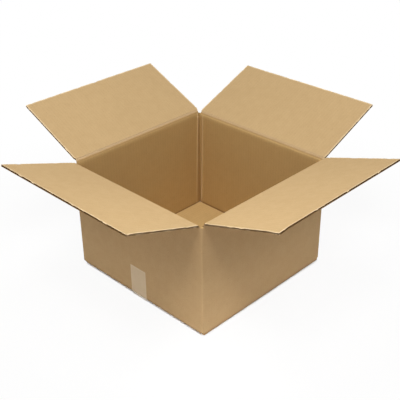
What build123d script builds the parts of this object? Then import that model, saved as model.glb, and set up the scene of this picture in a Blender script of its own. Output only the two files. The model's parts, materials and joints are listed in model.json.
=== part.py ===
from build123d import *

import os
from math import asin, atan2, cos, hypot, pi, radians, sin, tan

# Open cardboard box: a regular slotted carton of single-wall corrugated board, sealed along
# its bottom seam with packing tape, with its four top flaps standing open.
# Millimetres, +Z up. The origin is on the table under the middle of the box. X runs along the
# side walls, which carry the outer flaps, and Y along the end walls, which carry the inner ones.

# The carton, outside
box_length = 390.0  # along X, over the end walls
box_width = 390.0  # along Y, over the side walls
fold_height = 266.0  # table to the fold line of the side walls' top flaps

# The board: two liners with a fluted medium glued between them
board = 4.0
liner = 0.3
medium = 0.25
flute_pitch = 7.8
flute_point_shares = (0.42, 0.21, 0.07)  # of the pitch, from the middle of a flute outwards

# The folds
corner_radius = 4.0  # outside of the vertical folds
fold_radius = 3.0  # outside of the bottom folds
fold_gap = 0.3  # from a top fold line to the board on each side of it
layer_gap = 0.3  # between boards that lie on each other
bead_radius = 6.0  # ridge that a vertical score raises on each side of its crease, inside
bead_height = 1.2
bead_inset = 7.0  # crease to the middle of a ridge

# The slots between the flaps, and the flaps
slot_width = 7.0
slot_overcut = 1.0  # how far a top slot runs past the inner flaps' fold line
bottom_seam = 1.0  # between bottom flaps that meet
top_seam = 8.0  # between the outer top flaps when they are shut
flute_end = 3.0  # from the bevel of a fold to where the flutes open up

# How far each top flap leans out from upright
front_lean_angle = 71.9
back_lean_angle = 65.6
left_lean_angle = 70.8
right_lean_angle = 67.4

# The glued tab inside the left end wall, at the back corner
tab_width = 35.0
tab_thickness = 3.0  # crushed board
tab_end = 12.0  # from the fold lines to the tab's ends
tab_taper = 8.0
tab_fold_radius = 2.0  # outside of the fold between the back wall and the tab

# The tape
tape_width = 48.0
tape_thickness = 0.1
tape_leg = 77.0  # table to the tape's end on each end wall

# Levels, from the table up
outer_floor = tape_thickness
inner_floor = outer_floor + board + layer_gap
inside_floor = inner_floor + board
end_fold_height = fold_height - board - layer_gap
slot_top = end_fold_height - slot_overcut
slot_bottom = inner_floor + fold_radius

# Widths across the flaps, between the slots
side_flap_width = box_length - board - slot_width
end_flap_width = box_width - board - slot_width
flap_depth = (box_width - top_seam) / 2

os.makedirs("parts", exist_ok=True)


def across(turn):
    """Directions at the wall that faces `turn` degrees about Z: out of the box, and along the wall."""
    out = Vector(cos(radians(turn)), sin(radians(turn)), 0)
    return out, out.cross(Vector(0, 0, 1))


def wall_section(turn, reach):
    """Plane across a wall, X out of the box from the wall's outer face and Y up from the table."""
    out, along = across(turn)
    return Plane(origin=out * reach, x_dir=out, z_dir=along)


def panel_outline(reach, floor, fold):
    """Side view of a wall with its bottom flap folded in and its top end at the fold line."""
    free_edge = bottom_seam / 2 - reach
    return (
        (free_edge, floor),
        (0, floor),
        (0, fold - fold_gap),
        (-board, fold - fold_gap),
        (-board, floor + board),
        (free_edge, floor + board),
    )


def mitre_outline(fold):
    """What a top fold takes off the inside of a wall: everything above a 45 degree bevel."""
    depth = board + 2 * bead_height
    edge = fold - fold_gap
    return ((0, edge), (-depth, edge - depth), (-depth, edge))


# Carton body: four panels, a ring that joins them at the corners, and the glued tab
side_wall = (box_width / 2, outer_floor, fold_height, side_flap_width)
end_wall = (box_length / 2, inner_floor, end_fold_height, end_flap_width)
walls = ((0, *end_wall), (90, *side_wall), (180, *end_wall), (270, *side_wall))

inside_x = box_length / 2 - board
inside_y = box_width / 2 - board
bead_depth = bead_radius - bead_height
bead_points = [
    (i * x, j * y)
    for i in (-1, 1)
    for j in (-1, 1)
    for x, y in (
        (inside_x - bead_inset, inside_y + bead_depth),
        (inside_x + bead_depth, inside_y - bead_inset),
    )
]

with BuildPart() as carton_body:
    with BuildSketch(Plane.XY.offset(slot_bottom)) as ring:
        Rectangle(box_length, box_width)
        joint_corner = ring.vertices().sort_by(Axis.X)[:2].sort_by(Axis.Y)[-1:]
        fillet(ring.vertices() - joint_corner, corner_radius)
        with BuildLine():
            # The end wall's cut edge laps the rounded fold of the tab
            lap = Polyline(
                (-inside_x, box_width / 2 - tab_fold_radius),
                (-inside_x, box_width / 2),
                (tab_fold_radius - inside_x, box_width / 2),
            )
            RadiusArc(lap @ 0, lap @ 1, tab_fold_radius)
        make_face(mode=Mode.SUBTRACT)
    extrude(amount=slot_top - slot_bottom)
    with BuildSketch(Plane.XY.offset(slot_bottom)):
        Rectangle(2 * inside_x, 2 * inside_y)
        with Locations(*bead_points):
            Circle(bead_radius, mode=Mode.SUBTRACT)
    extrude(amount=slot_top - slot_bottom, mode=Mode.SUBTRACT)

    for turn, reach, floor, fold, width in walls:
        with BuildSketch(wall_section(turn, reach)) as panel:
            with BuildLine():
                Polyline(*panel_outline(reach, floor, fold), close=True)
            make_face()
            fillet(panel.vertices().group_by(Axis.Y)[0].sort_by(Axis.X)[-1], fold_radius)
        extrude(amount=width / 2, both=True)

    for turn, reach, floor, fold, width in walls:
        with BuildSketch(wall_section(turn, reach)):
            with BuildLine():
                Polyline(*mitre_outline(fold), close=True)
            make_face()
        extrude(amount=width / 2 + layer_gap, both=True, mode=Mode.SUBTRACT)

    with BuildSketch(Plane.YZ.offset(-inside_x)):
        tab_bottom = inside_floor + tab_end
        tab_top = end_fold_height - tab_end
        with BuildLine():
            Polyline(
                (inside_y, tab_bottom),
                (inside_y, tab_top),
                (inside_y - tab_width, tab_top - tab_taper),
                (inside_y - tab_width, tab_bottom + tab_taper),
                close=True,
            )
        make_face()
    extrude(amount=tab_thickness)
carton_body.part.label = "carton_body"
export_step(carton_body.part, "parts/carton_body.step")


# Top flaps: board with its flutes open at the free edge and crushed shut at the fold
def flute_outline():
    """Section of the gap between the medium and one liner, from the middle of the board."""
    rise = (board - medium) / 2 - liner
    steep = 2 * pi * rise / flute_pitch
    outer, middle, inner = flute_point_shares
    half = [(outer * flute_pitch, board / 2 - liner)]
    for share in (middle, inner):
        turn = 2 * pi * share
        skin = medium / 2 * hypot(1, steep * sin(turn))
        half.append((share * flute_pitch, skin - rise * cos(turn)))
    return half + [(-x, y) for x, y in reversed(half)]


def top_flap(turn, reach, fold, lean, width):
    """A flap hinged on the outer face of the wall that faces `turn`, leaning out by `lean`."""
    out, along = across(turn)
    up = Vector(0, 0, 1)
    hinge = out * reach + up * fold
    reaching = out * sin(radians(lean)) + up * cos(radians(lean))
    inward = along.cross(reaching)
    edge_middle = hinge + reaching * flap_depth + inward * (board / 2)
    flute_count = int(width / flute_pitch)
    with BuildPart() as flap:
        with BuildSketch(Plane(origin=hinge, x_dir=reaching, z_dir=along)):
            with BuildLine():
                Polyline(
                    (fold_gap, 0),
                    (flap_depth, 0),
                    (flap_depth, board),
                    (fold_gap + board, board),
                    close=True,
                )
            make_face()
        extrude(amount=width / 2, both=True)
        with BuildSketch(Plane(origin=edge_middle, x_dir=along, z_dir=reaching)):
            with GridLocations(flute_pitch, board, flute_count, 1):
                Polygon(*flute_outline(), align=None)
            with GridLocations(flute_pitch, board, flute_count - 1, 1):
                Polygon(*flute_outline(), rotation=180, align=None)
        flute_length = flap_depth - fold_gap - board - flute_end
        extrude(amount=-flute_length, mode=Mode.SUBTRACT)
    return flap


front_flap = top_flap(270, box_width / 2, fold_height, front_lean_angle, side_flap_width)
front_flap.part.label = "front_flap"
export_step(front_flap.part, "parts/front_flap.step")

back_flap = top_flap(90, box_width / 2, fold_height, back_lean_angle, side_flap_width)
back_flap.part.label = "back_flap"
export_step(back_flap.part, "parts/back_flap.step")

left_flap = top_flap(180, box_length / 2, end_fold_height, left_lean_angle, end_flap_width)
left_flap.part.label = "left_flap"
export_step(left_flap.part, "parts/left_flap.step")

right_flap = top_flap(0, box_length / 2, end_fold_height, right_lean_angle, end_flap_width)
right_flap.part.label = "right_flap"
export_step(right_flap.part, "parts/right_flap.step")

# Bottom tape: under the seam, then from the outer flaps' ends past the fold and up each end wall
flap_end = side_flap_width / 2
bend_x = box_length / 2 - fold_radius - flap_end
bend_z = inner_floor + fold_radius - outer_floor
slope = atan2(bend_z, bend_x) - asin(fold_radius / hypot(bend_x, bend_z))
wall_touch = outer_floor + (box_length / 2 - flap_end) * tan(slope)

with BuildPart() as bottom_tape:
    with BuildSketch(Plane.XZ):
        with BuildLine():
            sticky = Polyline(
                (0, outer_floor),
                (flap_end, outer_floor),
                (box_length / 2, wall_touch),
                (box_length / 2, tape_leg),
            )
            offset(sticky, tape_thickness, side=Side.RIGHT, kind=Kind.INTERSECTION)
        make_face()
        mirror(about=Plane.YZ)
    extrude(amount=tape_width / 2, both=True)
bottom_tape.part.label = "bottom_tape"
export_step(bottom_tape.part, "parts/bottom_tape.step")
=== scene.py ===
# %% [markdown]
# # An open shipping carton
# This lesson dresses a corrugated carton whose solids already exist. They come in as a fixed
# frame: every wall, flap and strip of tape stands where it was built, in metres, with +Z up and
# the origin on the table under the middle of the box. Nothing here moves or resizes them. We only
# add what the eye looks for in card: paper fibres, open flutes along the cut edges, pressed folds
# and the haze of packing tape.

# %% Load the fixed frame
import json
import math

import bmesh
import bpy
import numpy as np
from mathutils import Matrix, Quaternion, Vector


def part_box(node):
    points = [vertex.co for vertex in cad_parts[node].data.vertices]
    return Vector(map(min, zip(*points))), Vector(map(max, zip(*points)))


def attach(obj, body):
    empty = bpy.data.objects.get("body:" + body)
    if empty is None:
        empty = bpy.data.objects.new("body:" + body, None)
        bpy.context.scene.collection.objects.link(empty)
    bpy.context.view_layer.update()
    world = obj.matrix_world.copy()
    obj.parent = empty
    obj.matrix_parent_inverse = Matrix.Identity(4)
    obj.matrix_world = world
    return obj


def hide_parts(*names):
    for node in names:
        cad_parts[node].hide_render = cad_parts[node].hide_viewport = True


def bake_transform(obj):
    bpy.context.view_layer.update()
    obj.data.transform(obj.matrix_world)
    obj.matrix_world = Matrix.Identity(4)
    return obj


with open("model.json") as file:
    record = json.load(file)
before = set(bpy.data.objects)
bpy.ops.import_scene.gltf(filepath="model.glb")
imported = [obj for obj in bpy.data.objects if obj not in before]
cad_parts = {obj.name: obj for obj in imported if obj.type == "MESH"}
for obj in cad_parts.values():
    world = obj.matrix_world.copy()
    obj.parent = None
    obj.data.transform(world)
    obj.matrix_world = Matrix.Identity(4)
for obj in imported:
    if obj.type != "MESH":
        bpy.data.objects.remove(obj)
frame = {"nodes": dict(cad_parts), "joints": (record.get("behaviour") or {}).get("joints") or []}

MM = 0.001
UP = Vector((0, 0, 1))
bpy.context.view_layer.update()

# %% [markdown]
# ## Small helpers for node trees
# Shader trees and geometry trees are made of the same few gestures: add a node, set its
# properties, fill its sockets. A few helpers keep the later cells short. `add_node` takes values
# or sockets for its inputs, so a link is written like a plain argument. `new_group` makes an empty
# tree with named sockets, to be filled later.

# %% Node helpers


def fill(tree, socket, value):
    """Link a socket to another one, or give it a plain value."""
    if isinstance(value, bpy.types.NodeSocket):
        tree.links.new(value, socket)
    else:
        socket.default_value = value


def add_node(tree, kind, inputs=None, **settings):
    """Add a node, set its properties, then fill its inputs by name or number."""
    node = tree.nodes.new(kind)
    for name, value in settings.items():
        setattr(node, name, value)
    for key, value in (inputs or {}).items():
        fill(tree, node.inputs[key], value)
    return node


def new_group(name, kind, inputs, outputs):
    """A node group with named sockets; returns the tree, its inputs and its outputs."""
    tree = bpy.data.node_groups.new(name, kind)
    for in_out, sockets in (("INPUT", inputs), ("OUTPUT", outputs)):
        for label, socket_type in sockets:
            tree.interface.new_socket(label, in_out=in_out, socket_type=socket_type)
    given = tree.nodes.new("NodeGroupInput").outputs
    return tree, given, tree.nodes.new("NodeGroupOutput").inputs


print("nodes can be added, linked and grouped")

# %% [markdown]
# Four kinds of node come back in every tree, so each has a helper that returns its output.
# `maths` does sums, `ease` is a Map Range node with a soft start and end, and `mix` and `cloudy`
# are the colour mixer and the noise that paper is made of here.

# %% Sums, ramps, mixers and noise


def maths(tree, operation, *values):
    """One Math node; returns its output."""
    node = add_node(tree, "ShaderNodeMath", dict(enumerate(values)), operation=operation)
    return node.outputs[0]


def ease(tree, value, low, high, to_low=0.0, to_high=1.0):
    """Goes softly from to_low to to_high while value goes from low to high."""
    ends = {"Value": value, "From Min": low, "From Max": high, "To Min": to_low, "To Max": to_high}
    node = add_node(tree, "ShaderNodeMapRange", ends, interpolation_type="SMOOTHSTEP")
    return node.outputs[0]


def mix(tree, share, low, high):
    """The colour that lies this share of the way from low to high."""
    node = add_node(tree, "ShaderNodeMix", {0: share, 6: low, 7: high}, data_type="RGBA")
    return node.outputs[2]


def cloudy(tree, vector, scale, detail, roughness=0.5):
    """A noise texture; returns its value."""
    inputs = {"Vector": vector, "Scale": scale, "Detail": detail, "Roughness": roughness}
    return add_node(tree, "ShaderNodeTexNoise", inputs).outputs[0]


print("sums, ramps, mixers and noise are ready")

# %% [markdown]
# ## The camera
# The picture looks down on the front corner of the box, with a moderate tele lens. The place and
# the angles were found by matching the box's corners to the picture's; the lens is for a 36 mm
# sensor. Depth of field stays off, so the whole box is sharp.

# %% Camera
CAMERA_PLACE = Vector((-1.0698, -1.0618, 1.0281))
CAMERA_HEADING = math.radians(44.85)  # from +X towards +Y
CAMERA_DIP = math.radians(29.78)  # below level
CAMERA_ROLL = math.radians(-0.69)
CAMERA_LENS = 69.36
SENSOR = 36.0


def new_object(name, data):
    """A new object in the scene, at the origin."""
    obj = bpy.data.objects.new(name, data)
    bpy.context.scene.collection.objects.link(obj)
    return obj


camera = new_object("camera", bpy.data.cameras.new("camera"))
camera.data.lens = CAMERA_LENS
camera.data.sensor_width = SENSOR
level = Vector((math.cos(CAMERA_HEADING), math.sin(CAMERA_HEADING), 0))
sight = level * math.cos(CAMERA_DIP) - UP * math.sin(CAMERA_DIP)
camera.location = CAMERA_PLACE
camera.rotation_mode = "QUATERNION"
camera.rotation_quaternion = sight.to_track_quat("-Z", "Y") @ Quaternion((0, 0, 1), CAMERA_ROLL)
bpy.context.scene.camera = camera
print("camera looks along", [round(x, 3) for x in sight])

# %% [markdown]
# ## Light and floor
# Card is pictured under broad soft light from above, so the tops of the flaps are bright, the
# inside falls off into brown and the flaps shade the walls below them. The background is cut out
# to white. A world that bright would bleach the card, so it stays dim as a light and turns plain
# white only where one looks at it: straight, in a gloss or through a film. The Light Path node
# tells these rays apart.

# %% World
bpy.context.scene.view_settings.view_transform = "Standard"
WHITE = (1, 1, 1, 1)
FILL_COLOUR = (1, 0.985, 0.96, 1)
FILL_LEVEL = 0.285


def direct_sight(tree):
    """1 for rays that show a background: from the camera, off a gloss or through a film."""
    path = tree.nodes.new("ShaderNodeLightPath").outputs
    seen = maths(tree, "MAXIMUM", path["Is Camera Ray"], path["Is Glossy Ray"])
    return maths(tree, "MAXIMUM", seen, path["Is Transmission Ray"])


def studio_world():
    world = bpy.data.worlds.new("studio")
    bpy.context.scene.world = world
    world.use_nodes = True
    tree = world.node_tree
    tree.nodes.clear()
    dim = add_node(tree, "ShaderNodeBackground", {"Color": FILL_COLOUR, "Strength": FILL_LEVEL})
    white = add_node(tree, "ShaderNodeBackground", {"Color": WHITE, "Strength": 1.0})
    shaders = {0: direct_sight(tree), 1: dim.outputs[0], 2: white.outputs[0]}
    mixed = add_node(tree, "ShaderNodeMixShader", shaders)
    add_node(tree, "ShaderNodeOutputWorld", {"Surface": mixed.outputs[0]})


studio_world()
print("world fills at", FILL_LEVEL)

# %% [markdown]
# Two large lamps hang over the box, one nearly above it and one nearer to the viewer and a little
# to the left, and a narrow one lifts the front corner. A white studio floor also throws light back
# at the walls, strongest near the table. Four weak, slightly bluish lamps aimed at the foot of
# each wall give that light; bounced light would take many more samples to settle.

# %% Lamps
FLOOR_TINT = (0.95, 0.98, 1.0)
BOUNCE_WATTS = {"left": 0.14, "front": 0.172, "right": 0.14, "back": 0.14}
BOUNCE_SIDES = {"left": (-1, 0), "front": (0, -1), "right": (1, 0), "back": (0, 1)}
BOUNCE_REACH = 0.6  # metres from the middle of the box
BOUNCE_HEIGHT = 0.3
BOUNCE_SIZE = (0.7, 0.1)
BOUNCE_SPREAD = 50
FOOT_REACH = 0.2  # what the bounce lamps aim at, just under the foot of each wall
FOOT_HEIGHT = -0.08


def soft_lamp(name, place, target, size, watts, spread=180, tint=(1, 1, 1)):
    """An oval area lamp of a given width and height; the camera doesn't see the lamp itself."""
    lamp = bpy.data.lights.new(name, "AREA")
    lamp.shape = "ELLIPSE"
    lamp.size, lamp.size_y = size
    lamp.energy = watts
    lamp.spread = math.radians(spread)
    lamp.color = tint
    holder = new_object(name, lamp)
    holder.location = place
    holder.rotation_mode = "QUATERNION"
    holder.rotation_quaternion = (Vector(target) - Vector(place)).to_track_quat("-Z", "Y")
    holder.visible_camera = False


soft_lamp("overhead", (-0.2, -0.17, 1.7), (0, 0, 0.2), (0.6, 0.6), 11.0)
soft_lamp("key", (-0.75, -0.5, 1.9), (-0.05, -0.05, 0.2), (0.5, 0.5), 12.3)
soft_lamp("corner_key", (-0.6, -0.6, 1.3), (-0.2, -0.2, 0.22), (0.35, 0.35), 0.111, spread=30)
for side, (x, y) in BOUNCE_SIDES.items():
    place = (BOUNCE_REACH * x, BOUNCE_REACH * y, BOUNCE_HEIGHT)
    foot = (FOOT_REACH * x, FOOT_REACH * y, FOOT_HEIGHT)
    watts = BOUNCE_WATTS[side]
    soft_lamp(side + "_bounce", place, foot, BOUNCE_SIZE, watts, BOUNCE_SPREAD, FLOOR_TINT)
print("lamps:", sorted(lamp.name for lamp in bpy.data.lights))

# %% [markdown]
# The floor has to be white in the picture and still hold the box down. Close to the box a small
# share of it is a real pale floor that takes the shadow, and further out it turns into the plain
# white of the world. Where the box touches it, an Ambient Occlusion node brings the real floor
# back in full, which leaves the thin dark line that shows contact.

# %% Floor
FLOOR_HALF = 6.0  # metres from the middle to each side
FLOOR_COLOUR = (0.93, 0.93, 0.93, 1)
FLOOR_NEAR, FLOOR_FAR = 0.45, 0.9  # metres between which it turns plain white
NEAR_WHITE = 0.92  # share of plain white close to the box
CONTACT_REACH = 6 * MM
CONTACT_DARK, CONTACT_CLEAR = 0.4, 0.72  # openness at which the line starts and ends


def floor_material():
    material = bpy.data.materials.new("pale_floor")
    material.use_nodes = True
    tree = material.node_tree
    tree.nodes.clear()
    place = add_node(tree, "ShaderNodeTexCoord").outputs["Object"]
    reach = add_node(tree, "ShaderNodeVectorMath", {0: place}, operation="LENGTH").outputs["Value"]
    away = ease(tree, reach, FLOOR_NEAR, FLOOR_FAR, NEAR_WHITE, 1.0)
    away = maths(tree, "MULTIPLY", away, direct_sight(tree))
    nook = add_node(tree, "ShaderNodeAmbientOcclusion", {"Distance": CONTACT_REACH}, samples=8)
    clear = ease(tree, nook.outputs["AO"], CONTACT_DARK, CONTACT_CLEAR)
    matt = add_node(tree, "ShaderNodeBsdfDiffuse", {"Color": FLOOR_COLOUR})
    white = add_node(tree, "ShaderNodeEmission", {"Color": WHITE, "Strength": 1.0})
    shaders = {0: maths(tree, "MULTIPLY", away, clear), 1: matt.outputs[0], 2: white.outputs[0]}
    mixed = add_node(tree, "ShaderNodeMixShader", shaders)
    add_node(tree, "ShaderNodeOutputMaterial", {"Surface": mixed.outputs[0]})
    return material


floor_corners = [(x * FLOOR_HALF, y * FLOOR_HALF, 0) for x, y in ((-1, -1), (1, -1), (1, 1), (-1, 1))]
floor_mesh = bpy.data.meshes.new("floor")
floor_mesh.from_pydata(floor_corners, [], [(0, 1, 2, 3)])
floor_mesh.materials.append(floor_material())
floor = new_object("floor", floor_mesh)
print("floor", 2 * FLOOR_HALF, "m wide")

# %% [markdown]
# ## Kraft paper
# Liner paper is pressed brown pulp. Close up it has cloudy patches, short fibres that lie across
# the flutes, dark specks, and faint ribs where the flutes show through. All its faces share that
# finish, so it is one shader group, used by each paper with colours of its own. The clouds and
# specks read Object coordinates; the fibres and ribs read the UV map, which runs in metres across
# the flutes and along them. Two marks come from the mesh: one is painted shade in creases, corners
# and folds, and the other brings pale worn fibres along cut edges and painted highlights on folds
# and ridges.

# %% Kraft group
FLUTE_PITCH = 7.8 * MM
# Pale of worn fibres, also the colour of the painted highlights
PALE_WEAR_AND_HIGHLIGHT = (0.86, 0.67, 0.42, 1)
KRAFT_INPUTS = {
    "Place": "NodeSocketVector",
    "Across": "NodeSocketVector",
    "Paper": "NodeSocketColor",
    "Deep": "NodeSocketColor",
    "Speck": "NodeSocketColor",
    "Ribs": "NodeSocketFloat",
    "Painted Shade": "NodeSocketFloat",
    "Wear And Highlight": "NodeSocketFloat",
}
KRAFT_OUTPUTS = {
    "Color": "NodeSocketColor",
    "Roughness": "NodeSocketFloat",
    "Height": "NodeSocketFloat",
}


def kraft_group():
    sockets = KRAFT_INPUTS.items(), KRAFT_OUTPUTS.items()
    tree, given, out = new_group("kraft_paper", "ShaderNodeTree", *sockets)

    def stretched(scale):
        inputs = {"Vector": given["Across"], "Scale": scale}
        return add_node(tree, "ShaderNodeMapping", inputs).outputs[0]

    clouds = cloudy(tree, given["Place"], scale=55.0, detail=4.0, roughness=0.55)
    drift = cloudy(tree, given["Place"], scale=5.0, detail=2.0, roughness=0.55)
    specks = cloudy(tree, given["Place"], scale=750.0, detail=1.0, roughness=0.55)
    fibres = cloudy(tree, stretched((160.0, 1500.0, 1.0)), scale=1.0, detail=3.0, roughness=0.6)
    uneven = cloudy(tree, stretched((90.0, 3.0, 1.0)), scale=1.0, detail=1.0, roughness=0.55)

    # Ribs follow the flutes, and wander a little
    across = add_node(tree, "ShaderNodeSeparateXYZ", {0: given["Across"]}).outputs[0]
    wander = maths(tree, "MULTIPLY", uneven, 1.6)
    turn = maths(tree, "MULTIPLY_ADD", across, 2 * math.pi / FLUTE_PITCH, wander)
    ribs = maths(tree, "MULTIPLY", maths(tree, "COSINE", turn), given["Ribs"])

    # Colour: pulp between deep and pale, then specks, then painted shade from the mesh, then pale worn
    # fibres and painted highlights
    shade = maths(tree, "MULTIPLY", drift, 0.2)
    for layer, weight in ((clouds, 0.25), (fibres, 0.5), (ribs, 0.2)):
        shade = maths(tree, "MULTIPLY_ADD", layer, weight, shade)
    colour = mix(tree, ease(tree, shade, 0.2, 0.75), given["Deep"], given["Paper"])
    colour = mix(tree, ease(tree, specks, 0.66, 0.74, 0.0, 0.55), colour, given["Speck"])
    colour = mix(tree, given["Painted Shade"], colour, given["Speck"])
    fill(tree, out["Color"], mix(tree, given["Wear And Highlight"], colour, PALE_WEAR_AND_HIGHLIGHT))
    fill(tree, out["Roughness"], ease(tree, clouds, 0.3, 0.7, 0.9, 0.76))

    height = maths(tree, "MULTIPLY", clouds, 0.5)
    for layer, weight in ((fibres, 0.35), (ribs, 0.6)):
        height = maths(tree, "MULTIPLY_ADD", layer, weight, height)
    fill(tree, out["Height"], height)
    return tree


kraft = kraft_group()
print("kraft group has", len(kraft.nodes), "nodes")

# %% [markdown]
# Five papers use the group. The outer liner is a little redder than the liner on the flaps' inner
# side. The liner inside the box is the same paper as on the flaps' inner side, made yellower as
# painted bounce light from the card around it, and it shows its ribs more. The cut edges are rough
# and darker: partly torn fibres seen end on, partly painted shade of the open flutes. The wavy
# medium between the liners is recycled stock, the darkest brown of all, and its colour also goes
# on the liners' faces inside the flutes as painted shade.

# %% Papers
# Paper, its deeper patches, its specks, the strength of its ribs and of its relief
PAPERS = {
    "outer_liner": ((0.55, 0.368, 0.185), (0.48, 0.312, 0.152), (0.27, 0.15, 0.06), 0.06, 0.3),
    # A yellower copy of the inner liner: painted bounce light inside the box
    "inside_liner_bounce_tint": ((0.58, 0.390, 0.165), (0.51, 0.335, 0.137), (0.28, 0.15, 0.055), 0.25, 0.3),
    "inner_liner": ((0.58, 0.402, 0.201), (0.51, 0.347, 0.169), (0.30, 0.17, 0.07), 0.2, 0.3),
    # Darker partly for torn fibres, partly as painted shade of the open flutes
    "cut_edge_and_shade": ((0.51, 0.31, 0.133), (0.27, 0.146, 0.056), (0.14, 0.07, 0.025), 0.0, 0.8),
    # The medium's own dark paper, also put on the liners' faces inside the flutes as painted shade
    "medium_and_flute_shade": ((0.41, 0.235, 0.092), (0.2, 0.108, 0.039), (0.10, 0.05, 0.018), 0.0, 0.5),
}
PAPER_RELIEF = 0.15 * MM
PAPER_SPECULAR = 0.25


def kraft_material(name, paper, deep, speck, ribs, bump):
    material = bpy.data.materials.new(name)
    material.use_nodes = True
    tree = material.node_tree
    surface = tree.nodes["Principled BSDF"]
    place = add_node(tree, "ShaderNodeTexCoord").outputs
    inputs = {"Place": place["Object"], "Across": place["UV"], "Ribs": ribs}
    inputs.update({"Paper": (*paper, 1), "Deep": (*deep, 1), "Speck": (*speck, 1)})
    # The mesh's painted shade, and its pale wear with painted highlights
    for socket, mark in (("Painted Shade", "painted_shade"), ("Wear And Highlight", "wear_and_highlight")):
        attribute = add_node(tree, "ShaderNodeAttribute", attribute_name=mark)
        inputs[socket] = attribute.outputs["Fac"]
    group = add_node(tree, "ShaderNodeGroup", inputs, node_tree=kraft).outputs
    inputs = {"Height": group["Height"], "Strength": bump, "Distance": PAPER_RELIEF}
    relief = add_node(tree, "ShaderNodeBump", inputs)
    fill(tree, surface.inputs["Base Color"], group["Color"])
    fill(tree, surface.inputs["Roughness"], group["Roughness"])
    fill(tree, surface.inputs["Normal"], relief.outputs[0])
    surface.inputs["Specular IOR Level"].default_value = PAPER_SPECULAR
    return material


papers = {name: kraft_material(name, *finish) for name, finish in PAPERS.items()}
print("papers:", list(papers))

# %% [markdown]
# ## Where each flap hinges
# A flap's fold line, its lean and its size are all in the frame. The joint gives the fold and
# the direction along it; a flap is shut after a quarter turn past upright, so its lean is what
# is left of the range. Its width and depth are measured on the solid, in the flap's own axes: X
# along the fold, Y from the fold to the free edge, Z from the outer face to the inner one.

# %% Flap frames
FLAPS = ("front_flap", "back_flap", "left_flap", "right_flap")


def flap_frame(name):
    """(matrix from the flap's own axes to the row frame, lean, direction out of the box)."""
    joint = next(j for j in frame["joints"] if j["child"] == name)
    lean = math.radians(joint["range_deg"][1] - 90)
    along = Vector(joint["axis"])
    out = UP.cross(along)
    reaching = out * math.sin(lean) + UP * math.cos(lean)
    inward = along.cross(reaching)
    matrix = Matrix((along, reaching, inward)).transposed().to_4x4()
    matrix.translation = Vector(joint["pos_m"])
    return matrix, lean, out


def flap_size(name):
    """(width along the fold, depth from the fold to the free edge) of a flap's solid."""
    matrix, _, _ = flap_frame(name)
    back = matrix.inverted()
    corners = np.array([back @ v.co for v in frame["nodes"][name].data.vertices])
    low, high = corners.min(0), corners.max(0)
    return float(high[0] - low[0]), float(high[1])


for name in FLAPS:
    print(name, "width and depth", [round(s / MM, 1) for s in flap_size(name)], "mm")

# %% [markdown]
# ## Corrugated board as a node tree
# A flap is two flat liners with a wavy medium glued between them. It could be a slab with a
# picture of flutes on its edge, but then the edge would stay solid when one comes near. It follows
# a plain rule, so Geometry Nodes can make all of it: three grids are set to their heights, each is
# given its paper's thickness, and the three are bent together. The tree's inputs are the sizes of
# one flap, how much handling has marked it, and the papers that it is made of. The next cells
# fill the tree step by step.

# %% Board tree
FLAP_SIZES = ("Width", "Depth", "Board", "Liner", "Medium", "Pitch", "Fold Gap", "Crease", "Crush")
FLAP_MARKS = ("Pinch", "Warp", "Seed", "Sag", "Fray", "Spread", "Fold Rub")
FLAP_PAPERS = ("Outer", "Inner", "Wave", "Cut")

board_inputs = [(size, "NodeSocketFloat") for size in FLAP_SIZES + FLAP_MARKS]
board_inputs += [(paper, "NodeSocketMaterial") for paper in FLAP_PAPERS]
board_outputs = [("Geometry", "NodeSocketGeometry")]
board, given, made = new_group("corrugated_board", "GeometryNodeTree", board_inputs, board_outputs)


def m(operation, *values):
    """One Math node in the board tree."""
    return maths(board, operation, *values)


def product(*values):
    """All the values multiplied together."""
    total = values[0]
    for value in values[1:]:
        total = m("MULTIPLY", total, value)
    return total


def softly(value, low, high, to_low=0.0, to_high=1.0):
    """`ease` in the board tree."""
    return ease(board, value, low, high, to_low, to_high)


def noise(x, y, scale, detail):
    """Noise of about -0.5 to 0.5, with the flap's own seed."""
    place = add_node(board, "ShaderNodeCombineXYZ", {0: x, 1: y}).outputs[0]
    inputs = {"Vector": place, "W": given["Seed"], "Scale": scale, "Detail": detail}
    node = add_node(board, "ShaderNodeTexNoise", inputs, noise_dimensions="4D")
    return m("SUBTRACT", node.outputs[0], 0.5)


def here():
    """The three coordinates of the point at hand."""
    place = board.nodes.new("GeometryNodeInputPosition").outputs[0]
    return add_node(board, "ShaderNodeSeparateXYZ", {0: place}).outputs


def moved(geometry, x, y, z):
    """The geometry with its points set to new coordinates."""
    place = add_node(board, "ShaderNodeCombineXYZ", {0: x, 1: y, 2: z}).outputs[0]
    inputs = {"Geometry": geometry, "Position": place}
    return add_node(board, "GeometryNodeSetPosition", inputs).outputs[0]


print("board tree takes", len(board_inputs), "inputs")

# %% [markdown]
# The rule is how far apart the liners are at each place. The score crushes them together at the
# fold, and between the fold and the edges the board is full thickness. At the cut edges the knife
# and careless hands have pinched it flat in places, which a noise picks out. The medium swings
# from one liner to the other once in every flute.

# %% Liner spacing
at_x, at_y, at_z = here()

crush_end = m("ADD", given["Crease"], given["Crush"])
crushed = softly(at_y, given["Crease"], crush_end)
fold_thickness = m("MULTIPLY_ADD", given["Liner"], 2.0, given["Medium"])
full_rise = m("SUBTRACT", given["Board"], fold_thickness)
spacing = m("MULTIPLY_ADD", crushed, full_rise, fold_thickness)

edge_start = m("SUBTRACT", given["Depth"], given["Board"])
near_edge = softly(at_y, edge_start, given["Depth"])
half_width = m("MULTIPLY", given["Width"], 0.5)
side_start = m("SUBTRACT", half_width, given["Board"])
near_side = softly(m("ABSOLUTE", at_x), side_start, half_width)
dents = softly(noise(at_x, at_y, scale=70.0, detail=2.0), 0.03, 0.2)
pinch = product(m("MAXIMUM", near_edge, near_side), given["Pinch"], dents)
spacing = m("SUBTRACT", spacing, pinch)

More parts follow.
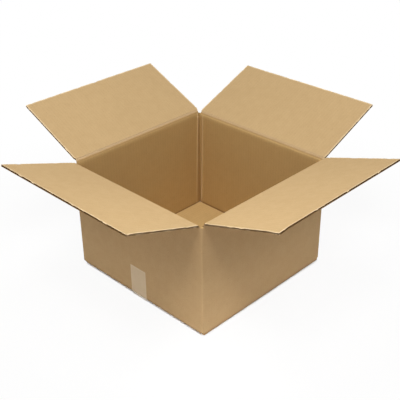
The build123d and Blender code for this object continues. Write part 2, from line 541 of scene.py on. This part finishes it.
turn = m("DIVIDE", m("MULTIPLY", at_x, 2 * math.pi), given["Pitch"])
wave = m("MULTIPLY_ADD", m("COSINE", turn), -0.5, 0.5)
room = m("SUBTRACT", spacing, fold_thickness)
print("spacing takes", len(board.nodes), "nodes")

# %% [markdown]
# Each paper starts as a flat grid, laid at its height and thickened by an extrusion. The rows of
# points crowd towards the fold and the free edge, where the shape changes. The medium needs many
# columns, fourteen for each flute, and it stops short of the crushed strip at the fold, where the
# liners leave it no room.

# %% Three papers
LINER_GRID = (97, 40)  # points along the fold, and from the fold to the free edge
MEDIUM_GRID = (48 * 14 + 1, 14)
CROWDING = 0.85
WELD = 0.01 * MM


def painted(geometry, paper):
    inputs = {"Geometry": geometry, "Material": given[paper]}
    return add_node(board, "GeometryNodeSetMaterial", inputs).outputs[0]


def joined(*geometries):
    node = board.nodes.new("GeometryNodeJoinGeometry")
    for geometry in geometries:
        board.links.new(geometry, node.inputs[0])
    return node.outputs[0]


def sheet(start, grid, level, thickness, below, above):
    """One paper from `start` to the free edge; returns it and which of its faces are cut sides."""
    inputs = {"Size X": given["Width"], "Size Y": given["Depth"]}
    inputs.update({"Vertices X": grid[0], "Vertices Y": grid[1]})
    flat = add_node(board, "GeometryNodeMeshGrid", inputs).outputs[0]
    grid_x, grid_y, _ = here()
    share = m("ADD", m("DIVIDE", grid_y, given["Depth"]), 0.5)
    swing = m("SINE", m("MULTIPLY", share, 2 * math.pi))
    crowded = m("MULTIPLY_ADD", swing, -CROWDING / (2 * math.pi), share)
    reach = m("MULTIPLY_ADD", crowded, m("SUBTRACT", given["Depth"], start), start)
    laid = moved(moved(flat, grid_x, reach, 0.0), at_x, at_y, level)

    lift = add_node(board, "ShaderNodeCombineXYZ", {2: thickness}).outputs[0]
    inputs = {"Mesh": laid, "Offset": lift, "Offset Scale": 1.0, "Individual": False}
    thick = add_node(board, "GeometryNodeExtrudeMesh", inputs, mode="FACES").outputs
    under = add_node(board, "GeometryNodeFlipFaces", {"Mesh": laid}).outputs[0]
    both = joined(painted(thick["Mesh"], above), painted(under, below))
    inputs = {"Geometry": both, "Distance": WELD}
    return add_node(board, "GeometryNodeMergeByDistance", inputs).outputs[0], thick["Side"]


inner_level = m("SUBTRACT", spacing, given["Liner"])
wave_level = m("MULTIPLY_ADD", wave, room, given["Liner"])
# The liners' faces inside the flutes take the medium's dark paper: painted shade
outer, outer_side = sheet(given["Fold Gap"], LINER_GRID, 0.0, given["Liner"], "Outer", "Wave")
inner, inner_side = sheet(given["Crease"], LINER_GRID, inner_level, given["Liner"], "Wave", "Inner")
middle, middle_side = sheet(crush_end, MEDIUM_GRID, wave_level, given["Medium"], "Wave", "Wave")
flat_board = joined(outer, inner, middle)
print("three papers of", LINER_GRID, LINER_GRID, "and", MEDIUM_GRID, "points")

# %% [markdown]
# While the board is still flat, its place is kept as the UV map, so the fibres and ribs stay in
# line with the flutes after it bends. Two marks are painted on it as attributes that the paper's
# shader reads. Right at the fold the paper gets a little painted shade, and the pressed strip
# behind it a painted highlight. Pale worn fibres lie along the rims of the cut edges, mostly on
# the upper paper, and in torn spots on the sides, where they also brighten the shaded insides of
# the open flutes as painted light.

# %% UV map and worn paper
# Painted shade on the flap, right at the fold
FOLD_SHADE = 0.15


def stored(geometry, name, value, data_type="FLOAT", domain="POINT"):
    inputs = {"Geometry": geometry, "Name": name, "Value": value}
    kind = "GeometryNodeStoreNamedAttribute"
    return add_node(board, kind, inputs, data_type=data_type, domain=domain).outputs[0]


flat_place = add_node(board, "ShaderNodeCombineXYZ", {0: at_x, 1: at_y}).outputs[0]
marked = stored(flat_board, "UVMap", flat_place, "FLOAT2", "CORNER")

fold_shade_end = m("MULTIPLY_ADD", given["Crush"], 0.3, given["Crease"])
marked = stored(marked, "painted_shade", softly(at_y, given["Crease"], fold_shade_end, FOLD_SHADE, 0.0))

face_up = m("GREATER_THAN", at_z, m("MULTIPLY_ADD", given["Liner"], -0.5, spacing))
wear = softly(noise(at_x, at_y, scale=55.0, detail=2.0), -0.2, 0.15, 0.45, 1.0)
torn = softly(noise(at_x, at_y, scale=110.0, detail=2.0), -0.05, 0.12, 0.1, 0.9)
# On the sides the pale also brightens the shaded insides of the open flutes: painted light
edge_rim = m("MULTIPLY", near_edge, face_up)
side_rim = m("MULTIPLY", near_side, m("MAXIMUM", face_up, torn))
rims = m("MULTIPLY", m("MAXIMUM", edge_rim, side_rim), wear)
# Painted highlight over the pressed strip behind the fold
highlight_start = m("MULTIPLY_ADD", given["Crush"], 0.5, given["Crease"])
highlight_end = m("MULTIPLY_ADD", given["Crush"], 1.3, given["Crease"])
pressed = softly(at_y, highlight_start, highlight_end, given["Fold Rub"], 0.0)
marked = stored(marked, "wear_and_highlight", m("MAXIMUM", rims, pressed))
print("marks bring it to", len(board.nodes), "nodes")

# %% [markdown]
# No flap of a used box is flat. The ends spread a little past the fold, where the slot no longer
# holds them, the free edge frays, the whole flap warps slowly, and one corner may droop from being
# lifted by it. Each is a small offset that starts at nothing on the fold, so the hinge stays true.

# %% Bends
DROOP_REACH = 30 * MM

past_fold = softly(at_y, given["Board"], m("MULTIPLY", given["Board"], 2.0))
end_share = m("DIVIDE", m("MULTIPLY", at_x, 2.0), given["Width"])
spread = product(end_share, past_fold, given["Spread"])

fray_start = m("SUBTRACT", given["Depth"], given["Crush"])
edge_only = softly(at_y, fray_start, given["Depth"])
frayed = product(noise(at_x, at_z, scale=420.0, detail=2.0), edge_only, given["Fray"])

free = softly(at_y, 0.0, m("MULTIPLY", given["Depth"], 0.5))
warped = product(noise(at_x, at_y, scale=5.0, detail=1.0), free, given["Warp"])

corner_x = m("SUBTRACT", half_width, at_x)
corner_y = m("SUBTRACT", given["Depth"], at_y)
corner_square = m("ADD", product(corner_x, corner_x), product(corner_y, corner_y))
droop = softly(m("SQRT", corner_square), 0.0, DROOP_REACH, given["Sag"], 0.0)

bent_z = m("SUBTRACT", m("ADD", at_z, warped), droop)
bent = moved(marked, m("ADD", at_x, spread), m("ADD", at_y, frayed), bent_z)

real = add_node(board, "GeometryNodeRealizeInstances", {"Geometry": bent}).outputs[0]
# Cut sides take the darker edge paper, partly painted shade of the flute openings
cut_sides = m("MAXIMUM", m("MAXIMUM", outer_side, inner_side), middle_side)
inputs = {"Geometry": real, "Selection": cut_sides, "Material": given["Cut"]}
fill(board, made[0], add_node(board, "GeometryNodeSetMaterial", inputs).outputs[0])
print("board tree has", len(board.nodes), "nodes")

# %% [markdown]
# ## The four top flaps
# A tree shows its result only on an object that carries it as a modifier. So it runs on an empty
# mesh, with its inputs set by their socket identifiers, and what it made is copied into a plain
# mesh. The empty object goes away again, and the modifier with it.

# %% Run a tree


def run_tree(name, tree, values):
    """Evaluate a tree on an empty mesh and return the result as a plain mesh."""
    holder = new_object(name + "_holder", bpy.data.meshes.new(name + "_holder"))
    modifier = holder.modifiers.new("tree", "NODES")
    modifier.node_group = tree
    for item in tree.interface.items_tree:
        if item.in_out == "INPUT" and item.name in values:
            modifier[item.identifier] = values[item.name]
    holder.update_tag()
    shown = holder.evaluated_get(bpy.context.evaluated_depsgraph_get())
    mesh = bpy.data.meshes.new_from_object(shown)
    bpy.data.objects.remove(holder)
    mesh.name = name
    return mesh


print(board.name, "is ready to run")

# %% [markdown]
# Each flap runs the tree with its own seed, so no two warp alike, and is then moved to its fold.
# The flaps of the side walls spread more and get a stronger painted highlight at their folds,
# and the one at the front has a tired corner, bent down a little.

# %% Flaps
BOARD = 4.0 * MM
LINER = 0.3 * MM
MEDIUM = 0.25 * MM
FOLD_GAP = 0.3 * MM
CREASE = 1.0 * MM
PINCH = 1.8 * MM
FRAY = 0.5 * MM
WARP = 0.6 * MM
FLAP_SMOOTH = 40  # degrees
# Strength of the painted highlight at each flap's fold
FOLD_HIGHLIGHT = {"front_flap": 0.5, "back_flap": 0.5, "left_flap": 0.25, "right_flap": 0.25}
flap_pieces = {}


def soft_shading(mesh, degrees):
    """Smooth faces that meet at less than `degrees`, hard edges elsewhere."""
    mesh.shade_smooth()
    mesh.set_sharp_from_angle(angle=math.radians(degrees))


def make_flap(name, seed, spread, crush, sag):
    width, depth = flap_size(name)
    values = {"Width": width, "Depth": depth, "Board": BOARD, "Liner": LINER, "Medium": MEDIUM}
    values.update({"Pitch": FLUTE_PITCH, "Fold Gap": FOLD_GAP, "Crease": CREASE, "Crush": crush})
    values.update({"Pinch": PINCH, "Warp": WARP, "Seed": seed, "Sag": sag, "Fray": FRAY})
    values.update({"Spread": spread, "Fold Rub": FOLD_HIGHLIGHT[name]})
    values.update({"Outer": papers["outer_liner"], "Inner": papers["inner_liner"]})
    values.update({"Wave": papers["medium_and_flute_shade"], "Cut": papers["cut_edge_and_shade"]})
    mesh = run_tree(name + "_board", board, values)
    mesh.transform(flap_frame(name)[0])
    soft_shading(mesh, FLAP_SMOOTH)
    flap_pieces[name] = new_object(name + "_board", mesh)
    print(name, len(mesh.polygons), "faces")


make_flap("front_flap", seed=1.0, spread=1.6 * MM, crush=3.0 * MM, sag=1.4 * MM)
make_flap("back_flap", seed=2.0, spread=1.6 * MM, crush=3.0 * MM, sag=0.0)
make_flap("left_flap", seed=3.0, spread=0.8 * MM, crush=3.6 * MM, sag=0.0)
make_flap("right_flap", seed=4.0, spread=1.0 * MM, crush=4.0 * MM, sag=0.0)

# %% [markdown]
# ## The carton's walls and bottom
# The walls keep the solid's shape, so the mesh starts as a copy of it: its loose triangles are
# merged and its flat faces joined again, and every hard edge gets a hair of roundness, as folded
# paper has. Then it is cut into a grid, so that there are points to press. A subdivision would
# spread points evenly; cuts put them close to the folds, where they are needed.

# %% Carton copy and cuts
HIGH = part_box("carton_body")[1]
WALLS = {0: HIGH.x, 1: HIGH.y}  # outer face of the end walls on X, of the side walls on Y
FOLD_FLAPS = {0: "left_flap", 1: "front_flap"}
FOLDS = {axis: flap_frame(name)[0].translation.z for axis, name in FOLD_FLAPS.items()}
FLAT_ANGLE = math.radians(1)
HARD_ANGLE = math.radians(35)
EDGE_ROUND = 0.12 * MM
CORNER_STEPS = (*range(1, 16), 17, 20, 24)  # millimetres from each inner corner
HEIGHT_STEPS = (9.4, 10.4, 12, *range(20, 250, 16))  # above the table
FOLD_STEPS = (1.0, 2.0, 3.0, 4.2, 5.5, 7.0, 8.7, 10.5, 12.0)  # below each fold line


def carton_copy():
    bm = bmesh.new()
    bm.from_mesh(frame["nodes"]["carton_body"].data)
    bmesh.ops.remove_doubles(bm, verts=bm.verts, dist=WELD)
    bmesh.ops.dissolve_limit(bm, angle_limit=FLAT_ANGLE, verts=bm.verts, edges=bm.edges)
    hard = [e for e in bm.edges if e.is_manifold and e.calc_face_angle() > HARD_ANGLE]
    rounding = {"segments": 2, "profile": 0.5, "affect": "EDGES", "clamp_overlap": False}
    bmesh.ops.bevel(bm, geom=hard, offset=EDGE_ROUND, **rounding)
    return bm


def cut(bm, axis, place):
    """Cut every face that crosses a plane, so that there is a row of points along it."""
    normal = Vector((0, 0, 0))
    normal[axis] = 1
    everything = bm.verts[:] + bm.edges[:] + bm.faces[:]
    bmesh.ops.bisect_plane(bm, geom=everything, plane_co=normal * place, plane_no=normal)


bm = carton_copy()
for axis, reach in WALLS.items():
    for step in CORNER_STEPS:
        cut(bm, axis, reach - BOARD - step * MM)
        cut(bm, axis, step * MM + BOARD - reach)
for step in HEIGHT_STEPS:
    cut(bm, 2, step * MM)
for fold in FOLDS.values():
    for step in FOLD_STEPS:
        cut(bm, 2, fold - step * MM)
print("carton grid", len(bm.verts), "points")

# %% [markdown]
# Scoring wheels leave three marks in real board: the inner paper rolls over towards each top
# fold, it rises in a ridge on each side of a vertical fold, and it sinks in a groove where the
# bottom flaps turn in. Each mark is a small function of the distance to its fold, and all of them
# are made of the same few curves.

# %% Curves of the marks
ROLL_SHARP = 5.0 * MM
ROLL_LONG = 12.0 * MM


def part_way(value, low, high):
    """From 0 at low to 1 at high, in a straight line."""
    return min(max((value - low) / (high - low), 0), 1)


def fade(value, low, high):
    """Softly from 0 at low to 1 at high."""
    share = part_way(value, low, high)
    return share * share * (3 - 2 * share)


def bell(distance, width):
    """A soft hump, 1 at distance 0."""
    return math.exp(-((distance / width) ** 2))


def rolled(drop):
    """Depth of the inner paper under the wall's outer face, this far below a fold line."""
    near = part_way(drop - FOLD_GAP, 0, ROLL_SHARP)
    far = part_way(drop - FOLD_GAP, 0, ROLL_LONG)
    return BOARD * (1 - 0.5 * (1 - near) ** 2 - 0.5 * (1 - far) ** 2)


for drop in (1, 3, 6, 12):
    print(drop, "mm below a fold the wall is", round(rolled(drop * MM) / MM, 2), "mm thick")

# %% [markdown]
# The ridges differ from corner to corner and change along their height, because no two corners of
# a real box are squeezed alike. A table holds what was seen or supposed at each corner. The corner
# with the glued tab is missing from it: the tab covers its score.

# %% Ridges at the corners
# For each corner (sign of x, sign of y), first on its end wall and then on its side wall: the
# ridge's rise, its distance from the crease and the width of the painted shade in the crease, each
# in millimetres at the bottom and at the top
CORNER_MARKS = {
    (1, 1): ((2.0, 1.0, 5.0, 11.0, 2.5, 1.5), (0.6, 1.9, 13.5, 5.5, 12.0, 3.5)),
    (1, -1): ((1.0, 1.3, 8.0, 7.0, 3.0, 4.0), (1.2, 0.9, 7.0, 8.0, 4.0, 3.0)),
    (-1, -1): ((1.2, 1.0, 7.5, 7.0, 4.0, 2.5), (0.9, 1.3, 6.5, 9.5, 3.0, 4.0)),
}


def corner_of(co):
    """The corner of the box that a point is nearest to."""
    return tuple(1 if co[axis] > 0 else -1 for axis in (0, 1))


def corner_mark(corner, axis, height):
    """(rise, distance, width of painted shade) of the mark on one wall of a corner, at a height."""
    share = height / FOLDS[1]
    marks = CORNER_MARKS[corner][axis]
    return [(low + (high - low) * share) * MM for low, high in zip(marks[::2], marks[1::2])]


print("marked corners:", list(CORNER_MARKS))

# %% [markdown]
# The marks are pressed by moving the points of the inner paper, and nothing else is touched. A
# point belongs to a wall's inner paper if it lies below the outer face by up to a board and a
# half and isn't behind the next wall. The ridges fade out below the top folds, so that the shut
# inner flaps still find their room.

# %% Press the marks
INNER_FLOOR = 4.4 * MM  # underside of the bottom flaps that hang on the end walls
INSIDE_FLOOR = INNER_FLOOR + BOARD
SKIN = 0.05 * MM
RIDGE_WIDTH = 2.4 * MM
RIDGE_FOOT = 8 * MM
RIDGE_NONE, RIDGE_FULL = 9.5 * MM, 15 * MM  # below the top fold
GROOVE_DEPTH, GROOVE_WIDTH = 2.2 * MM, 4 * MM
LIP_HEIGHT, LIP_PLACE, LIP_WIDTH = 0.45 * MM, 7 * MM, 2.5 * MM


def press_wall(co, axis):
    """Move one point of the inner paper of the walls on this axis."""
    sign = 1 if co[axis] > 0 else -1
    depth = WALLS[axis] - sign * co[axis]
    gap = WALLS[1 - axis] - BOARD - abs(co[1 - axis])
    drop = FOLDS[axis] - co.z
    if not SKIN < depth < 1.5 * BOARD or gap < -SKIN:
        return
    corner = corner_of(co)
    if corner in CORNER_MARKS and depth > 0.9 * BOARD and co.z > INSIDE_FLOOR:
        rise, crest, _ = corner_mark(corner, axis, co.z)
        proud = rise * bell(gap - crest, RIDGE_WIDTH) * fade(gap, 0, 2 * MM)
        proud *= fade(co.z, INSIDE_FLOOR, INSIDE_FLOOR + RIDGE_FOOT)
        depth = BOARD + proud * fade(drop, RIDGE_NONE, RIDGE_FULL)
    if drop < ROLL_LONG:
        depth += (rolled(drop) - depth) * fade(gap, 1 * MM, 6 * MM)
    co[axis] = sign * (WALLS[axis] - depth)


def press_floor(co):
    """Sink the bottom flaps' inner paper where it turns up into the end walls."""
    gap = WALLS[0] - BOARD - abs(co.x)
    if abs(co.z - INSIDE_FLOOR) < 2 * SKIN and gap < 15 * MM:
        co.z -= GROOVE_DEPTH * (1 - fade(gap, 0, GROOVE_WIDTH))
        co.z += LIP_HEIGHT * bell(gap - LIP_PLACE, LIP_WIDTH)


solid_places = [vert.co.copy() for vert in bm.verts]
for vert in bm.verts:
    press_wall(vert.co, 0)
    press_wall(vert.co, 1)
    press_floor(vert.co)
farthest = max((vert.co - place).length for vert, place in zip(bm.verts, solid_places))
print("pressed the folds, the corners and the floor by up to", round(farthest / MM, 2), "mm")

# %% [markdown]
# The marks are also painted into the colour. Painted shade darkens the creases, the corners, the
# foot of the walls, the rims under the top folds and the outside of the bottom folds, and a painted
# highlight brightens the ridges and the rim at each side wall's fold. The same distances decide
# both, measured on the solid before it was pressed, so that the colours don't depend on how far a
# point has moved.

# %% Colour of the marks
WALL_FLOORS = {0: INNER_FLOOR, 1: 0.1 * MM}  # undersides of the bottom flaps that hang on them
TOUCH = 0.1 * MM
INNER_FACE = 1.5 * MM  # how far a point of the inner paper may stand off the plain wall
# Strength of the painted shade and of the painted highlight
SHADE_LEVEL, HIGHLIGHT_LEVEL = 0.75, 0.6


def bottom_fold(co, axis, gaps):
    """Painted shade round the outside of a bottom fold, where the box meets the floor."""
    bottom = co.z - WALL_FLOORS[axis]
    if gaps[axis] < 3.2 * MM - BOARD and bottom < 5 * MM:
        return 1 - fade(bottom, 2 * MM, 5 * MM)
    return 0


def top_fold(co, axis, gaps):
    """(dark, pale) below a top fold: painted shade in a crease under a painted highlight, or on end
    walls painted shade along the rim.
    """
    drop = FOLDS[axis] - co.z
    inside = TOUCH - BOARD < gaps[axis] < INNER_FACE and gaps[1 - axis] > -TOUCH
    if not inside or drop >= 9 * MM:
        return 0, 0
    if axis == 0:
        return 0.6 * (1 - fade(drop, 0.8 * MM, 2.8 * MM)), 0
    return 0.85 * bell(drop - 2.4 * MM, 1.3 * MM), 0.5 * (1 - fade(drop, 0.2 * MM, 1.3 * MM))


def inside_wall(co, axis, gaps):
    """(dark, pale) of a wall inside: painted shade along the bottom and in the corners, a painted
    highlight on a ridge.
    """
    gap = gaps[1 - axis]
    height = co.z - INSIDE_FLOOR
    if not (-TOUCH < gaps[axis] < INNER_FACE and gap > -TOUCH and height > -TOUCH):
        return 0, 0
    dark, pale = 1 - fade(height, 0.5 * MM, 3 * MM), 0
    corner = corner_of(co)
    if corner in CORNER_MARKS:
        rise, crest, width = corner_mark(corner, axis, co.z)
        dark = max(dark, 0.55 * (1 - fade(gap, 0.6 * width, 1.2 * width)))
        # Painted highlight on the ridge
        pale = rise / (2 * MM) * bell(gap - crest - 0.5 * MM, 1.4 * MM)
    return dark, pale


sample = Vector((0, WALLS[1] - BOARD, FOLDS[1] - 2 * MM))
print("dark and pale 2 mm below a side wall's fold:", top_fold(sample, 1, (WALLS[0] - BOARD, 0)))

# %% [markdown]
# Where several marks meet, the strongest one shows. The result is stored on the points as the
# two attributes that the kraft shader reads: painted shade and painted highlight.

# %% Colour the points


def shade_and_highlight(co):
    """(painted shade, painted highlight) at a point of the solid."""
    gaps = [WALLS[axis] - BOARD - abs(co[axis]) for axis in (0, 1)]
    darks, pales = [0], [0]
    # Painted shade along the foot of the walls, in the floor's groove
    if abs(co.z - INSIDE_FLOOR) < TOUCH and min(gaps) > -TOUCH:
        darks.append(1 - fade(min(gaps), 0.5 * MM, 3.0 * MM))
    for axis in (0, 1):
        darks.append(bottom_fold(co, axis, gaps))
        for marks in (top_fold, inside_wall):
            dark, pale = marks(co, axis, gaps)
            darks.append(dark)
            pales.append(pale)
    return SHADE_LEVEL * max(darks), HIGHLIGHT_LEVEL * max(pales)


# Painted shade and painted highlight, stored on the points
painted_shade = bm.verts.layers.float.new("painted_shade")
wear_and_highlight = bm.verts.layers.float.new("wear_and_highlight")
for vert, place in zip(bm.verts, solid_places):
    vert[painted_shade], vert[wear_and_highlight] = shade_and_highlight(place)
print("points with a mark:", sum(vert[painted_shade] + vert[wear_and_highlight] > 0.05 for vert in bm.verts))

# %% [markdown]
# Each face gets a UV map in metres across and along its flutes, which stand upright in the
# walls and run from the fold to the free edge in the bottom flaps. The faces that look into the
# box take the inside liner, tinted as painted bounce light, and all others the outer one.

# %% Carton finish
CARTON_SMOOTH = 30  # degrees


def flute_uv(normal, place):
    """Metres across and along the flutes, for a point on a face with this normal."""
    if abs(normal.z) > 0.8:
        if place.z < INNER_FLOOR:
            return place.x, place.y
        return place.y, place.x
    if abs(normal.x) > abs(normal.y):
        return place.y, place.z
    return place.x, place.z


def faces_inside(face):
    """True for the faces that look into the box."""
    middle = face.calc_center_median()
    inward = face.normal.x * middle.x + face.normal.y * middle.y < -0.05 * middle.xy.length
    return middle.z > INNER_FLOOR + 0.5 * BOARD and (inward or face.normal.z > 0.5)


uv = bm.loops.layers.uv.new("UVMap")
for face in bm.faces:
    face.material_index = 1 if faces_inside(face) else 0
    for loop in face.loops:
        loop[uv].uv = flute_uv(face.normal, loop.vert.co)
bmesh.ops.triangulate(bm, faces=[f for f in bm.faces if len(f.verts) > 4])
mesh = bpy.data.meshes.new("carton_board")
bm.to_mesh(mesh)
bm.free()
mesh.materials.append(papers["outer_liner"])
# The inside faces take the copy tinted with painted bounce light
mesh.materials.append(papers["inside_liner_bounce_tint"])
soft_shading(mesh, CARTON_SMOOTH)
carton = new_object("carton_board", mesh)
print("carton", len(mesh.polygons), "faces")

# %% [markdown]
# ## The pressed folds
# On the real blank the paper runs unbroken over each score, squeezed to a thin web. A thin strip
# bent about the fold line does the same: it starts inside the wall, turns, and ends inside the
# flap. It could ride on one of the two, but then it would tear off the other one when the flap
# swings.

# %% Web section
WEB_REACH = 1.7 * MM  # from the fold line into the wall and into the flap
WEB_BEND = 0.5 * MM  # the part on each side of the fold line that turns
WEB_THICKNESS = 0.45 * MM
WEB_PROUD = 0.03 * MM  # it stands out by this in the middle and sinks in by it at both ends
WEB_MIDDLE = 0.7  # share of the reach that stands out
WEB_STEPS = 18


def web_section(name):
    """The strip's outline in the plane across the fold, at the middle of the flap."""
    matrix, lean, out = flap_frame(name)
    places = [(2 * i / WEB_STEPS - 1) * WEB_REACH for i in range(WEB_STEPS + 1)]

    def bent(place, depth):
        """A point of the upright strip, turned out with the flap as far as it is past the fold."""
        angle = lean * fade(place, -WEB_BEND, WEB_BEND)
        outward = -depth * math.cos(angle) + place * math.sin(angle)
        upward = depth * math.sin(angle) + place * math.cos(angle)
        return matrix.translation + out * outward + UP * upward

    def skin(place):
        return -WEB_PROUD if abs(place) < WEB_MIDDLE * WEB_REACH else WEB_PROUD

    section = [bent(place, skin(place)) for place in places]
    return section + [bent(place, WEB_THICKNESS) for place in reversed(places)]


print("a web's section has", len(web_section("front_flap")), "points")

# %% [markdown]
# The strip is that outline drawn out along the fold, with both ends closed. Its UV map follows
# the flutes of the wall, and it gets a painted highlight like the fold that it covers, a little
# weaker.

# %% Web strips
WEB_SMOOTH = 50  # degrees
WEB_HIGHLIGHT_LESS = 0.2  # its painted highlight is weaker than the fold's by this


def make_web(name):
    """The strip as an object, and the points on its path where the bend starts and ends."""
    matrix, _, _ = flap_frame(name)
    along, reaching, fold = matrix.col[0].xyz, matrix.col[1].xyz, matrix.translation
    width, _ = flap_size(name)
    section = web_section(name)
    count = len(section)
    points = [p + along * (side * width / 2) for side in (-1, 1) for p in section]
    faces = [(i, (i + 1) % count, count + (i + 1) % count, count + i) for i in range(count)]
    faces += [tuple(range(count))[::-1], tuple(range(count, 2 * count))]
    mesh = bpy.data.meshes.new(name + "_web")
    mesh.from_pydata(points, [], faces)
    bm = bmesh.new()
    bm.from_mesh(mesh)
    bmesh.ops.recalc_face_normals(bm, faces=bm.faces)
    uv = bm.loops.layers.uv.new("UVMap")
    wear_and_highlight = bm.verts.layers.float.new("wear_and_highlight")
    for vert in bm.verts:
        # The same painted highlight as the fold, a little weaker
        vert[wear_and_highlight] = FOLD_HIGHLIGHT[name] - WEB_HIGHLIGHT_LESS
    for face in bm.faces:
        for loop in face.loops:
            loop[uv].uv = (loop.vert.co.dot(along), loop.vert.co.z)
    bm.to_mesh(mesh)
    bm.free()
    mesh.materials.append(papers["outer_liner"])
    soft_shading(mesh, WEB_SMOOTH)
    return new_object(name + "_web", mesh), fold - UP * WEB_BEND, fold + reaching * WEB_BEND


webs = {name: make_web(name) for name in FLAPS}
print("webs:", sorted(webs))

# %% [markdown]
# ## Packing tape
# The tape is a clear film, pressed so tightly on the card that no air is left under it: what one
# sees is the card itself, washed out by a pale haze, under a smooth plastic surface. A real
# transparent sheet a tenth of a millimetre thick would shade the card twice over, so the film
# takes the card's own finish and mixes the haze into it. The haze is thickest along the rims,
# faint streaks from the roll run along the strip, and under the box the seam between the bottom
# flaps gets painted shade.

# %% Tape
TAPE_RIBS = 0.15
TAPE_HAZE = (0.74, 0.612, 0.412, 1)
# Colour of the painted shade in the seam between the bottom flaps
TAPE_SEAM_SHADE = (0.10, 0.06, 0.03, 1)
TAPE_RIM_HAZE = 0.16
TAPE_SIDE = (21 * MM, 23 * MM)  # from the middle of the strip: where the rim starts, and is full
TAPE_END = (73 * MM, 75.5 * MM)  # above the table, the same for the strip's ends
SEAM_HALF = (0.3 * MM, 0.8 * MM)
TAPE_SPECULAR = 0.5


def tape_material():
    paper, deep, speck, _, bump = PAPERS["outer_liner"]
    material = kraft_material("packing_tape", paper, deep, speck, TAPE_RIBS, bump)
    tree = material.node_tree
    surface = tree.nodes["Principled BSDF"]
    card = surface.inputs["Base Color"].links[0].from_socket
    place = add_node(tree, "ShaderNodeTexCoord").outputs["Object"]
    _, across, height = add_node(tree, "ShaderNodeSeparateXYZ", {0: place}).outputs
    across = maths(tree, "ABSOLUTE", across)

    stretch = {"Vector": place, "Scale": (6.0, 160.0, 6.0)}
    along_strip = add_node(tree, "ShaderNodeMapping", stretch).outputs[0]
    streaks = cloudy(tree, along_strip, scale=1.0, detail=3.0)
    patches = cloudy(tree, place, scale=60.0, detail=2.0)
    film = maths(tree, "MULTIPLY_ADD", patches, 0.8, maths(tree, "MULTIPLY", streaks, 0.2))
    rim = maths(tree, "MAXIMUM", ease(tree, across, *TAPE_SIDE), ease(tree, height, *TAPE_END))
    haze = ease(tree, film, 0.3, 0.7, 0.40, 0.45)
    haze = maths(tree, "MULTIPLY_ADD", rim, TAPE_RIM_HAZE, haze)

    # Painted shade along the seam between the bottom flaps, under the box
    under_box = ease(tree, height, 0.0, MM, 1.0, 0.0)
    seam_shade = maths(tree, "MULTIPLY", ease(tree, across, *SEAM_HALF, 0.7, 0.0), under_box)
    colour = mix(tree, haze, mix(tree, seam_shade, card, TAPE_SEAM_SHADE), TAPE_HAZE)
    relief = add_node(tree, "ShaderNodeBump", {"Height": film, "Strength": 0.06, "Distance": 0.2 * MM})
    fill(tree, surface.inputs["Base Color"], colour)
    fill(tree, surface.inputs["Roughness"], ease(tree, streaks, 0.3, 0.7, 0.33, 0.37))
    fill(tree, surface.inputs["Normal"], relief.outputs[0])
    surface.inputs["Specular IOR Level"].default_value = TAPE_SPECULAR
    return material


tape = frame["nodes"]["bottom_tape"]
tape.data.materials.clear()
tape.data.materials.append(tape_material())
print("tape film on", tape.name)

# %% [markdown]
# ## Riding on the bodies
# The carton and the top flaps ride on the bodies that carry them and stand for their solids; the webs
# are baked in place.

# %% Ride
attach(carton, "carton")
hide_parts("carton_body")
for name, piece in flap_pieces.items():
    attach(piece, name)
    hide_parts(name)
for name, (web, start, end) in webs.items():
    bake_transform(web)
